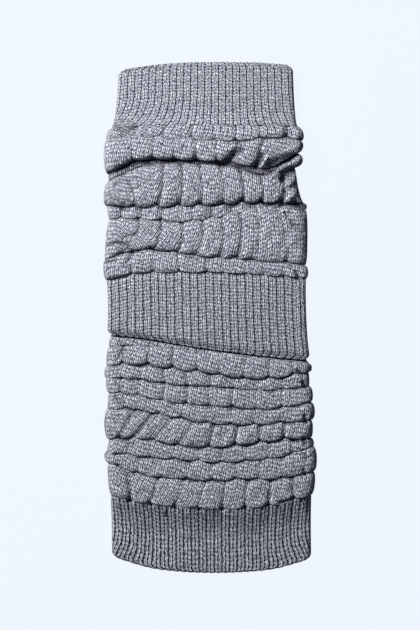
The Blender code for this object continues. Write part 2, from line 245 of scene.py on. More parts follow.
LOWER_BANDS = (
    Band("hidden_cuff", 0.85, 24, (-9.5, -11.2, -13.9, -16.6, -18.7, -20.7, -22.2), -49, 46.5, -50, 49,
        4.8, 8, 0.4),
    Band("tuck_0", 0, 16, (-14.8, -14.2, -15.8, -17.5, -19.5, -21.5, -23), -50.5, 49.5, -51, 50,
        9.4, 8, 0, 0.3, (0.9, 0.9, 0.7, 0.5, 0.5, 0.5, 0.5), 0.2, 0.5, 0, 0,
        ((-43.5, -30.3, -18.5, -6.3, 5.5, 17.7, 29.5, 40.9),
         (-42.9, -30.3, -18.5, -6.3, 5.5, 17.7, 29.5, 40.9))),
    Band("fold_1", 0, 28, (-24.5, -24.2, -26.5, -28.2, -30.8, -30.8, -27.2), -51.8, 51, -52.2, 49.8,
        10.6, 6.6, 0, 0.8, (0.4, 0.7, 0.8, 1, 0.9, 0.8, 0.6), 1, 1.3, 0.5, 0,
        ((-42.9, -30.3, -18.5, -6.3, 5.5, 17.7, 29.5, 40.9),
         (-43.5, -30.8, -18.5, -6.3, 5, 17, 29.5, 41.5))),
    Band("fold_2", 0, 24, (-30.2, -31.5, -34.2, -34.8, -36, -36.8, -34.2), -52.9, 49.7, -52.5, 50.2,
        9.8, 7.2, 0, 0.6, (0.5, 0.8, 1, 1, 0.9, 0.9, 0.8), 0.7, 0.6, 0.6, 0,
        ((-45, -34.8, -23, -11.8, 0.4, 11.6, 23.8, 36), (-44, -34.3, -22.5, -11.5, 0.2, 11.6, 23.8, 36))),
    Band("fold_3", 0, 26, (-37.8, -39.8, -43.2, -44.5, -46, -45.8, -42.2), -52, 51.5, -51.2, 51,
        10, 7.2, 0, 0.6, (0.4, 0.7, 0.9, 1, 1, 0.8, 0.8), 0.7, 1.3, 0.6, 0,
        ((-44, -35.3, -22.9, -11.5, -0.2, 11.2, 23, 36),
         (-44.5, -35.5, -22.9, -11.5, -0.2, 11.2, 23, 36))),
    Band("fold_4", 0, 26, (-45.8, -47, -50.5, -53.2, -54.2, -53.2, -51.2), -51.1, 52.5, -52, 51.2,
        10.2, 7.2, 0, 0.6, (0.4, 0.7, 0.8, 1, 1, 0.9, 0.9), 0.7, 0.6, 0.6, 0,
        ((-43, -34.3, -24.2, -12.8, -0.6, 10.8, 22.2, 35.2), (-42, -36, -25, -14, -1, 10.5, 22, 35.2))),
    Band("fold_5", 0, 36, (-61.2, -61.2, -64, -65.5, -64.2, -62, -60), -52.9, 51.5, -51, 51,
        11, 7.2, 0, 0.8, (0.4, 0.6, 0.8, 1, 1, 0.9, 0.8), 0.9, 1.8, 0.35, 0,
        ((-37, -28.5, -18.5, -8, 1.9, 14.1, 25, 37.2), (-46, -38.5, -28.5, -16, -0.5, 12.5, 24.8, 37))),
    Band("fold_6", 0, 26, (-67.2, -69.8, -71.2, -72.8, -72.2, -70.2, -64.2), -51.2, 52, -52.8, 52.2,
        10.2, 7.2, 0, 0.6, (0.5, 0.8, 0.9, 1, 0.9, 0.8, 0.8), 0.7, 0.6, 0.6, 0,
        ((-40.4, -29.8, -17.7, -5.5, 5.9, 18.1, 29.5, 40.9),
         (-41, -30.2, -18, -5.5, 5.9, 18.1, 29, 40.9))),
    Band("fold_7", 0, 26, (-72.2, -78.8, -80.8, -82, -81.2, -80.8, -76.8), -52.9, 53.5, -51.8, 52.5,
        10.4, 7.2, 0, 0.6, (0.5, 0.8, 0.9, 1, 0.9, 0.9, 0.8), 0.7, 0.8, 0.6, 0,
        ((-46.9, -35.5, -23.3, -11.1, 1.1, 13.3, 24.6, 36), (-45, -36, -24, -11.5, 1.1, 13, 24.3, 36))),
    Band("fold_8", 0, 36, (-88.8, -93, -94.5, -95.8, -95.5, -93.8, -88.8), -51, 52.5, -49.8, 50.8,
        11, 9.7, 0, 0.4, (0.6, 1, 1, 0.9, 1, 1, 0.9), 0.55, 1.4, 0, 0,
        ((-37.8, -25.6, -12.8, -2.4, 7.8, 18.8, 30.4, 40.9), (-40, -30, -17.5, -6, 6.2, 17.5, 29, 42))),
    Band("low_cuff", 1.3, 70, (-120.6, -125.3, -127.3, -127.9, -127.5, -125.9, -121.6), -49.4, 50.7,
        -49, 50.8, 5, 5, 22),
)

LOWER_CREASES = (
    (1.2, 0.8, (-46.5, -22.5), (-43, -16)),
    (1.2, 1.4, (-47, -40), (-43, -44.5), (-40, -46)),
    (0.9, 1.2, (-34, -47), (-37, -49.5)),
    (0.8, 1, (-26, -49), (-30, -53.5)),
    (1.2, 1.2, (-45, -60), (-38, -64)),
    (1.2, 1.2, (-46, -74), (-41, -78.5)),
    (1.2, 1.4, (-40.5, -79), (-39.5, -91)),
    (1, 1.8, (43.8, -26.8), (46.5, -29)),
    (1, 1.8, (46.5, -32.5), (47.6, -35.2)),
    (1, 1.8, (47.3, -49), (48, -52.5)),
    (0.9, 1.2, (40.5, -61.2), (44, -62.4)),
    (1, 1.6, (47.2, -68), (48.2, -70.5)),
    (1, 1.5, (46.8, -60), (47.4, -63)),
    (1.1, 1.5, (46.8, -76), (48.2, -79.5)),
    (0.8, 1.8, (-40.5, -91.2), (-39.8, -91.5)),
    (0.7, 1.7, (-29.9, -93.1), (-28.8, -93.4)),
    (0.7, 1.5, (-18.3, -94.6), (-17.2, -95)),
    (0.7, 1.4, (-5.4, -95.6), (-4.4, -95.8)),
    (0.7, 1.7, (5.7, -95.6), (6.9, -95.6)),
    (0.7, 1.6, (16.7, -95), (17.9, -94.8)),
    (0.7, 1.6, (28.2, -93.7), (29.4, -93.3)),
    (0.7, 1.6, (35, -92.3), (38.5, -91.3), (42, -89.8)),
    (0.5, 1.3, (-21.7, -97.2), (-21.9, -99.4)),
)

LOWER_SWINGS = (
    ("fold_5", -34, 18, -1, 2),
    ("fold_8", -24, 20, -0.5, 1.5),
    ("low_cuff", -48, 16, 0, 2.5),
    ("low_cuff", 49, 16, 0, -2.5),
)

UPPER = Sock(
    "upper_sock", (124.3, 126.3, 127.5, 127.9, 127.9, 127.6, 126.6), -45.9, 41.6, 26, True,
    UPPER_BANDS, UPPER_CREASES, UPPER_SWINGS)
LOWER = Sock(
    "lower_sock", (16.8, 17.2, 17.2, 17.2, 17.2, 17.2, 16.8), -48.5, 46, 27, False,
    LOWER_BANDS, LOWER_CREASES, LOWER_SWINGS)


def smooth_step(value):
    """Rises softly from 0 to 1 as value goes from 0 to 1."""
    value = np.clip(value, 0.0, 1.0)
    return value * value * (3.0 - 2.0 * value)


def curve_through(values, share):
    """A smooth curve through evenly spaced values, read at a share of its length."""
    values = np.asarray(values, float)
    slopes = np.gradient(values)
    place = np.clip(share, 0.0, 1.0) * (len(values) - 1)
    index = np.minimum(place.astype(int), len(values) - 2)
    part = place - index
    rise = part * part * (3.0 - 2.0 * part)
    leave = part * (1.0 - part) ** 2
    arrive = -part * part * (1.0 - part)
    level = values[index] * (1.0 - rise) + values[index + 1] * rise
    return level + slopes[index] * leave + slopes[index + 1] * arrive


def ripples(x, y, length, seed):
    """Soft uneven waves of about that length, from about -1 to 1."""
    chance = np.random.default_rng(seed)
    total = np.zeros(np.broadcast(x, y).shape)
    for _ in range(WAVES):
        angle = chance.uniform(0.0, math.pi)
        pace = 2.0 * math.pi / (length * chance.uniform(0.7, 1.5))
        start = chance.uniform(0.0, 2.0 * math.pi)
        total = total + np.sin(pace * (x * math.cos(angle) + y * math.sin(angle)) + start)
    return total / (WAVES / 2.0)


def rippled(kind, at, number):
    """Ripples of one of the kinds above on a band, as high as its kind says."""
    height, length, seed = kind
    return height * ripples(at.x, at.y, length, seed + number)


def floor_height(sock, y):
    """Height of the surface that the sock lies on."""
    if not sock.lapped:
        return np.zeros_like(y)
    return LAP * smooth_step((RAMP_START - y) / (RAMP_START - RAMP_END))


def wales_round(sock):
    """Number of wales round the sock, two for each rib."""
    return 4.0 * sock.front_ribs


def ring_shares(sock):
    """How far round the ring each line of the mesh runs, the upper face first."""
    front = np.linspace(0.0, 0.5, POINTS_PER_RIB * sock.front_ribs + 1)
    near = np.linspace(0.0, UNDER_SIDE, UNDER_SIDE_POINTS + 1)[1:]
    across = np.linspace(UNDER_SIDE, 1.0 - UNDER_SIDE, UNDER_MIDDLE_POINTS + 1)[1:]
    away = np.linspace(1.0 - UNDER_SIDE, 1.0, UNDER_SIDE_POINTS + 1)[1:]
    under = 0.5 + 0.5 * np.concatenate([near, across, away])
    return np.concatenate([front, under])


def flat_ring(shares, left, right, side):
    """A flat ring with round sides: x, level from -1 underneath to 1 on top, and the way outwards."""
    arc = math.pi * side / 2.0
    flat = right - left - 2.0 * side
    half = 2.0 * arc + flat
    over = shares <= 0.5
    along = np.where(over, shares, 1.0 - shares) * 2.0 * half
    face = np.where(over, 1.0, -1.0)
    turn_left = np.clip(along / side, 0.0, math.pi / 2.0)
    turn_right = np.clip((half - along) / side, 0.0, math.pi / 2.0)
    x = left + side * (1.0 - np.cos(turn_left)) + np.clip(along - arc, 0.0, flat)
    x = x + side * np.cos(turn_right)
    level = face * np.sin(turn_left) * np.sin(turn_right)
    return x, level, np.cos(turn_right) - np.cos(turn_left)


def pleat_shape(band, x, part, width):
    """1 in a fold's pleats, falling away beside them, at part of the way down it."""
    if not band.pleats:
        return np.zeros(np.broadcast(x, part).shape)
    above, below = np.array(band.pleats)
    chance = np.random.default_rng(int(10.0 * band.crest + 7.0 * band.rows))
    strength = chance.uniform(*PLEAT_STRENGTH, len(above))
    part = part[..., None]
    places = above + (below - above) * smooth_step(part) + band.bow * np.sin(math.pi * part)
    away = np.sqrt((x[..., None] - places) ** 2 + PLEAT_ROUND**2) - PLEAT_ROUND
    return np.clip((strength * np.exp(-away / width)).sum(axis=-1), 0.0, PLEATS_MEET)


def band_edges(sock, number, share, x, weight):
    """Y of a band's upper and lower edge, with each band's puffs hanging over the next."""
    upper = curve_through(sock.hem, share) - HEM_ROLL
    foot = np.ones_like(x)
    for place, band in enumerate(sock.bands[: number + 1]):
        lower = curve_through(band.low, share)
        if place == len(sock.bands) - 1:
            lower = lower + HEM_ROLL
        if band.scallop:
            turned_in = 2.0 * pleat_shape(band, x, foot, SCALLOP_WIDTH) - SCALLOP_MIDDLE
            lower = lower + weight * band.scallop * turned_in
        lower = np.minimum(lower, upper - SMALLEST_FOLD)
        edges = (upper, lower)
        upper = lower
    return edges


def crease_heights(sock, number, share):
    """Height of the knit at the band's upper and lower edge, higher where the crease is loose."""
    heights = []
    for place in (number - 1, number):
        here = sock.bands[max(place, 0)]
        after = sock.bands[min(place + 1, len(sock.bands) - 1)]
        if place < 0:
            heights.append(np.full_like(share, here.crest))
            continue
        tight = curve_through(here.tight, share) if len(here.tight) > 1 else 1.0
        varies, length, seed = TIGHTNESS
        along = place * 70.0 + 100.0 * share
        tight = tight * (1.0 + varies * ripples(along, 0.0, length, seed + place))
        loosened = LOOSEST * (min(here.crest, after.crest) - here.pinch)
        heights.append(here.pinch + (1.0 - tight) * np.maximum(loosened, 0.0))
    return heights


def crease_between(band, at, above, below):
    """Height that a row rises from: a cuff's nearer crease, or a mean of a fold's two."""
    if band.ribs:
        return np.where(at.travel < 0.5, above, below)
    return above * (1.0 - at.part) + below * at.part


def outline(sock, number, part):
    """Left and right side of the sock at part of the way down a band."""
    band = sock.bands[number]
    above = sock.bands[number - 1] if number else None
    high_left = above.low_left if above else sock.hem_left
    high_right = above.low_right if above else sock.hem_right
    swell = np.sin(math.pi * part)
    left = high_left * (1.0 - part) + band.low_left * part
    left = left + swell * (band.left - (high_left + band.low_left) / 2.0)
    right = high_right * (1.0 - part) + band.low_right * part
    right = right + swell * (band.right - (high_right + band.low_right) / 2.0)
    return left, right


def round_back(band, travel, swell, length):
    """How far up its crest a band is, from 0 at its edges to 1."""
    if band.ribs:
        reach = band.reach / np.maximum(length, 2.0 * band.reach)
        return np.sin(math.pi / 2.0 * np.clip(np.minimum(travel, 1.0 - travel) / reach, 0.0, 1.0))
    back = 1.0 - (1.0 - swell) ** FLATNESS
    if band.reach:
        back = np.where(travel < 0.5, smooth_step(travel * length / band.reach), back)
    return back


def swing_of(sock, band, at):
    """How many wales the knit stands aside, to the left, and its courses' rise."""
    wale_width = (sock.hem_right - sock.hem_left) / (2.0 * sock.front_ribs)
    lean = 0.0 if band.ribs else WALE_LEAN
    aside = lean * at.length * (at.travel - 0.5)
    rise = lean * wale_width * at.x
    for name, middle, reach, above, below in sock.swings:
        if name != band.name:
            continue
        change = below - above
        amount, pace = above + change * at.travel, change
        if band.ribs:
            amount, pace = change * np.clip((at.travel - 0.5) / 0.5, 0.0, 1.0) ** 2, 0.0
        away = (at.x - middle) / reach
        aside = aside + amount * np.exp(-(away**2))
        slope = wale_width * pace / np.maximum(at.length, SHORT_FOLD)
        rise = rise + slope * reach * BELL * np.tanh(BELL_PACE * away)
    return aside, rise


def crease_depth(sock, x, y):
    """Depth of the listed creases, less the ridges."""
    depth = np.zeros(x.shape)
    for width, deepest, *path in sock.creases:
        nearest = np.full(x.shape, np.inf)
        for (start_x, start_y), (end_x, end_y) in zip(path, path[1:]):
            run_x, run_y = end_x - start_x, end_y - start_y
            along = ((x - start_x) * run_x + (y - start_y) * run_y) / (run_x**2 + run_y**2)
            along = np.clip(along, 0.0, 1.0)
            away = np.hypot(x - start_x - along * run_x, y - start_y - along * run_y)
            nearest = np.minimum(nearest, away)
        depth = depth + deepest * np.exp(-((nearest / width) ** 2))
    return depth


def band_rows(sock, number, count):
    """The rows of a band: part of the way down, way travelled, swell of its back, and its edges."""
    part = np.linspace(0.0, 1.0, count + 1)[:, None]
    travel = (1.0 - np.cos(math.pi * part)) / 2.0
    if sock.bands[number].ribs:
        travel = EVEN_ROWS * part + (1.0 - EVEN_ROWS) * travel
    middle = np.full_like(part, 0.5)
    upper, lower = band_edges(sock, number, middle, middle * 0.0, 0.0)
    return SimpleNamespace(
        part=part, travel=travel, swell=np.sin(math.pi * part), upper=upper, lower=lower)


def ring_sides(sock, number, at, inside):
    """Left and right side of a band's rings, notched at creases and rounded at a hem's corners."""
    left, right = outline(sock, number, at.part)
    if inside:
        left, right = left + WALL, right - WALL
    elif not sock.bands[number].ribs:
        notch = NOTCH * (1.0 - at.swell) ** 1.5
        left, right = left + notch, right - notch
    if number in (0, len(sock.bands) - 1):
        from_hem = (at.travel if number == 0 else 1.0 - at.travel) * (at.upper - at.lower) / CORNER
        corner = CORNER * (1.0 - np.sqrt(1.0 - np.clip(1.0 - from_hem, 0.0, 1.0) ** 2))
        left, right = left + corner * CORNER_WIDTH, right - corner * CORNER_WIDTH
    return left, right


def lay_rings(sock, number, shares, at, inside):
    """Lays a band's rows as flat rings, as high as it stands at the sock's middle."""
    band = sock.bands[number]
    left, right = ring_sides(sock, number, at, inside)
    base = floor_height(sock, at.upper + (at.lower - at.upper) * at.travel)
    back = round_back(band, at.travel, at.swell, at.upper - at.lower)
    crease = crease_between(band, at, sock.bands[number - 1].pinch if number else band.crest, band.pinch)
    height = crease + (band.crest - crease) * back - base
    if inside:
        side = np.maximum(SLIT / 2.0, height / 2.0 - WALL)
    else:
        side = np.minimum(height / 2.0, ROUNDEST_SIDE)
    at.x, at.level, at.outward = flat_ring(shares, left, right, side)
    at.share = (at.x - left) / (right - left)
    at.part = np.broadcast_to(at.part, at.x.shape)
    at.crease, at.back = crease, back


def raise_fold(sock, number, at):
    """Raises a fold's back, uneven and leaning over the crease below it."""
    band = sock.bands[number]
    uneven = 1.0 + rippled(BACK, at, number) * at.weight
    at.crease = crease_between(band, at, *crease_heights(sock, number, at.share))
    back = round_back(band, at.travel, at.swell, at.length)
    at.top = at.crease + (band.crest - at.crease) * back * at.grown * uneven
    edge = np.clip(2.0 * np.minimum(at.part, 1.0 - at.part), 0.0, 1.0)
    turned = 1.0 - np.sin(math.pi / 2.0 * edge)
    lean = np.where(at.part < 0.5, sock.bands[number - 1].lean if number else 0.0, band.lean)
    at.y = at.y + at.weight * lean * turned * (turned if band.ribs else 1.0)


def press_relief(sock, number, at, knit):
    """Presses in the rib gaps, pleats, listed creases and wrinkles."""
    band = sock.bands[number]
    above = sock.bands[number - 1].ribs if number else 0.0
    at.rib = np.abs(np.sin(math.pi * at.wale / 2.0))
    at.ribbed = np.full_like(at.x, band.ribs)
    if above and not band.ribs:
        at.ribbed = above * (1.0 - at.part) ** RIBS_RUN_OUT
    rib_gap = knit.rib_relief / MM * (1.0 - at.rib**RIB_TOP) * at.ribbed
    fading = 1.0 - band.fade * at.part if band.fade > 0.0 else 1.0 + band.fade * (1.0 - at.part)
    at.pleat = pleat_shape(band, at.x, at.part, PLEAT_WIDTH) * fading
    deeper = PLEAT_AT_EDGE + (1.0 - PLEAT_AT_EDGE) * at.swell
    groove = band.depth * at.pleat * deeper * knit.pleat_depth
    at.trough = crease_depth(sock, at.x, at.y)
    wrinkle = rippled(WRINKLES, at, number) + rippled(SMALL_WRINKLES, at, number)
    wrinkle = wrinkle * (1.0 - np.minimum(at.ribbed, 1.0)) + rippled(CUFF_WAVES, at, number) * at.ribbed
    wrinkle = wrinkle * np.minimum(at.swell * 2.0, 1.0)
    relief = at.weight * (rib_gap + groove * at.grown + at.trough - wrinkle)
    at.z = at.bottom + (at.level + 1.0) / 2.0 * (at.top - at.bottom) - relief * np.clip(at.level, 0.0, 1.0)
    at.x = at.x - at.weight * (rib_gap + groove) * at.outward


def shape_underside(number, at):
    """Lifts a fold's underside a little, in shallow creases and waves that stay above the floor."""
    height, length, seed = UNDERSIDE
    waves = height * (1.0 + np.maximum(ripples(at.x, at.y, length, seed + number), -1.0))
    at.z = at.z + np.clip(-at.level, 0.0, 1.0) * (UNDER_CREASE * (1.0 - at.swell) ** 3 + waves)


def cut_teeth(sock, number, at):
    """Lets each rib's end stand out past the gap beside it, at both hems."""
    teeth = HEM_TEETH * (at.rib**0.8 - 0.5)
    if number == 0:
        at.y = at.y + teeth * (1.0 - smooth_step(at.part / TEETH_START))
    if number == len(sock.bands) - 1:
        at.y = at.y - teeth * smooth_step((at.part - (1.0 - TEETH_END)) / TEETH_END)


def light_lost(sock, number, at):
    """Light lost in creases, at the foot of pleats and where a fold runs out."""
    band = sock.bands[number]
    in_pleat = IN_PLEAT * at.pleat**2 * np.minimum(band.depth / 2.0, 1.0)
    dark = in_pleat + np.clip(at.trough, 0.0, DEEPEST_TROUGH) / TROUGH_DEPTH
    if not band.ribs:
        above = sock.bands[max(number - 1, 0)].crest
        below = sock.bands[min(number + 1, len(sock.bands) - 1)].crest
        lower_crest = np.minimum(band.crest, np.where(at.travel < 0.5, above, below))
        deep = np.clip((lower_crest - at.crease) / DEEP_CREASE, 0.0, 1.0)
        # Painted shade: a dark line along each crease's bottom, darker at the pleats' feet and in short
        # folds
        width = CREASE_LINE_WIDTH + CREASE_LINE_WIDER * np.maximum(band.crest - at.crease, 0.0)
        away = np.minimum(at.travel, 1.0 - at.travel) * at.length / width
        lost = np.clip(CREASE_LINE + rippled(CREASE_LINE_RIPPLES, at, number), *CREASE_LINE_RANGE)
        foot = PLEAT_FOOT * at.pleat * (1.0 - np.broadcast_to(at.swell, at.x.shape)) ** 1.3
        dark = dark + deep * (np.exp(-(away**2)) * lost + foot + (1.0 - at.grown) ** 1.5)
    # Painted shade on the lower cuffs, which get less light than the top one, deeper in the rib gaps than
    # on the ribs
    if band.name == "low_cuff":
        cuff_shade, in_gaps, on_ribs = LOWER_CUFF_SHADE
        dark = dark + cuff_shade * (in_gaps - on_ribs * at.rib)
    return np.clip(dark, 0.0, 1.0) * at.weight


def place_band(sock, number, shares, count, inside=False):
    """Lays a band's rows between its edges."""
    band = sock.bands[number]
    at = band_rows(sock, number, count)
    lay_rings(sock, number, shares[None, :], at, inside)
    at.weight = np.clip((at.level - RELIEF_FROM) / RELIEF_OVER, 0.0, 1.0)
    if inside:
        at.weight = np.zeros_like(at.x)
    at.upper, at.lower = band_edges(sock, number, at.share, at.x, at.weight)
    at.length = at.upper - at.lower
    at.y = at.upper - at.length * at.travel
    at.grown = 1.0 if band.ribs else np.clip(at.length / FULL_FOLD, 0.0, 1.0)
    at.bottom = floor_height(sock, at.y)
    return at


def outer_knit(sock, number, shares, knit):
    """A band's outer knit: points, and each one's wale, rise of its course, lost light and ribs."""
    band = sock.bands[number]
    at = place_band(sock, number, shares, band.rows)
    aside, rise = swing_of(sock, band, at)
    at.wale = shares * wales_round(sock) + at.weight * aside
    raise_fold(sock, number, at)
    press_relief(sock, number, at, knit)
    if band.ribs:
        cut_teeth(sock, number, at)
    else:
        shape_underside(number, at)
    points = np.stack([at.x, at.y, at.z], axis=-1)
    return points, at.wale, at.weight * rise, light_lost(sock, number, at), at.ribbed


def inner_wall(sock, number, shares):
    """Points of a band's plain inner wall: a slit in the cuffs, more room in the folds."""
    band = sock.bands[number]
    at = place_band(sock, number, shares, INNER_ROWS, inside=True)
    top = at.crease + (band.crest - at.crease) * at.back * at.grown
    room = np.maximum(SLIT, HOLLOW * (top - at.bottom - 2.0 * WALL))
    z = at.bottom + WALL + (at.level + 1.0) / 2.0 * room
    return np.stack([at.x, at.y, z], axis=-1)


def hem_roll(outer, inner, way):
    """Rows that turn the knit's edge from one row to another, standing out along Y."""
    middle, half = (outer + inner) / 2.0, (outer - inner) / 2.0
    rows = []
    for step in range(1, HEM_POINTS):
        turn = math.pi * step / HEM_POINTS
        row = middle + half * math.cos(turn)
        row[:, 1] += way * HEM_ROLL * math.sin(turn)
        rows.append(row)
    return rows


def length_along(rows):
    """How far over the knit each row of points lies from the first one."""
    steps = np.linalg.norm(np.diff(rows, axis=0), axis=-1)
    return np.cumsum(steps, axis=0)


def knit_rows(sock, knit):
    """Every row of the sock's closed surface with its wale, course, lost light and rib values.

    It goes down the outer knit, over the lower hem, up the plain inside and over the upper hem.
    Neighbouring bands each keep a copy of the row they share, as each counts its courses afresh."""
    shares = ring_shares(sock)
    flattest, ribbed_more = CUFF_COURSES
    points, wales, courses, painted_shades, ribs = [], [], [], [], []
    for number, band in enumerate(sock.bands):
        place, wale, rise, hollow, ribbed = outer_knit(sock, number, shares, knit)
        run = np.vstack([np.zeros(len(shares)), length_along(place)])
        course = knit.cuff_course * (flattest + ribbed_more * band.ribs) if band.ribs else knit.leg_course
        points += list(place)
        wales += list(wale)
        courses += list((run - rise) * MM / course + BAND_COURSES * number)
        painted_shades += list(hollow)
        ribs += list(ribbed)
    inner = []
    for number in reversed(range(len(sock.bands))):
        place = inner_wall(sock, number, shares)
        inner += list(place[::-1] if not inner else place[::-1][1:])
    rest = hem_roll(points[-1], inner[0], -1.0) + inner
    rest += hem_roll(inner[-1], points[0], 1.0) + [points[0]]
    run = courses[-1] + length_along(np.array([points[-1]] + rest)) * MM / knit.cuff_course
    points += rest
    wales += [shares * wales_round(sock)] * len(rest)
    courses += list(run)
    painted_shades += [np.full(len(shares), INSIDE)] * (len(rest) - 1) + [painted_shades[0]]
    ribs += [ribs[-1]] * len(rest)
    return [np.array(rows) for rows in (points, wales, courses, painted_shades, ribs)]


def knitted_sock(sock, knit, finish):
    """The sock as one thin closed shell: a flat grid laid round it and sewn to itself."""
    points, wales, courses, painted_shades, ribs = knit_rows(sock, knit)
    rows, columns = wales.shape
    mesh = bmesh.new()
    bmesh.ops.create_grid(mesh, x_segments=columns - 1, y_segments=rows - 1, size=1.0)
    name = sock.name + "_knit"
    data = bpy.data.meshes.new(name)
    mesh.to_mesh(data)
    mesh.free()

    flat = np.empty(len(data.vertices) * 3)
    data.vertices.foreach_get("co", flat)
    flat = flat.reshape(-1, 3)
    column = np.rint((flat[:, 0] + 1.0) / 2.0 * (columns - 1)).astype(int)
    row = np.rint((flat[:, 1] + 1.0) / 2.0 * (rows - 1)).astype(int)
    data.vertices.foreach_set("co", (points[row, column] * MM).ravel())
    corner = np.empty(len(data.loops), int)
    data.loops.foreach_get("vertex_index", corner)
    layer = data.uv_layers.new(name="knit")
    place = np.stack([wales[row, column], courses[row, column]], axis=-1)[corner]
    layer.data.foreach_set("uv", place.ravel().astype(np.float32))
    # The light lost in creases, gaps and on the inner wall is stored here as painted shade that darkens
    # the knit's colour
    for label, values in (("hollow", painted_shades), ("ribbed", ribs)):
        attribute = data.attributes.new(label, "FLOAT", "POINT")
        attribute.data.foreach_set("value", values[row, column].astype(np.float32))

    mesh = bmesh.new()
    mesh.from_mesh(data)
    bmesh.ops.remove_doubles(mesh, verts=mesh.verts, dist=SAME_POINT)
    bmesh.ops.recalc_face_normals(mesh, faces=mesh.faces)
    for face in mesh.faces:
        face.smooth = True
    mesh.to_mesh(data)
    mesh.free()
    data.materials.append(finish)
    item = bpy.data.objects.new(name, data)
    bpy.context.scene.collection.objects.link(item)
    return item


def from_hex(colour):
    """An sRGB hex colour as the linear values that Blender takes."""
    parts = [int(colour[i : i + 2], 16) / 255.0 for i in (1, 3, 5)]
    return tuple(c / 12.92 if c <= 0.04045 else ((c + 0.055) / 1.055) ** 2.4 for c in parts) + (1.0,)


def toned(colour, tone):
    """A colour made darker or lighter."""
    return tuple(c * tone for c in colour[:3]) + (1.0,)


def add_node(tree, kind, inputs=None, **settings):
    """Adds a node with its settings. Each input is a value, or another node's output to link."""
    node = tree.nodes.new(kind)
    for name, value in settings.items():
        setattr(node, name, value)
    for key, value in (inputs or {}).items():
        if isinstance(value, bpy.types.NodeSocket):
            tree.links.new(value, node.inputs[key])
        else:
            node.inputs[key].default_value = value
    return node


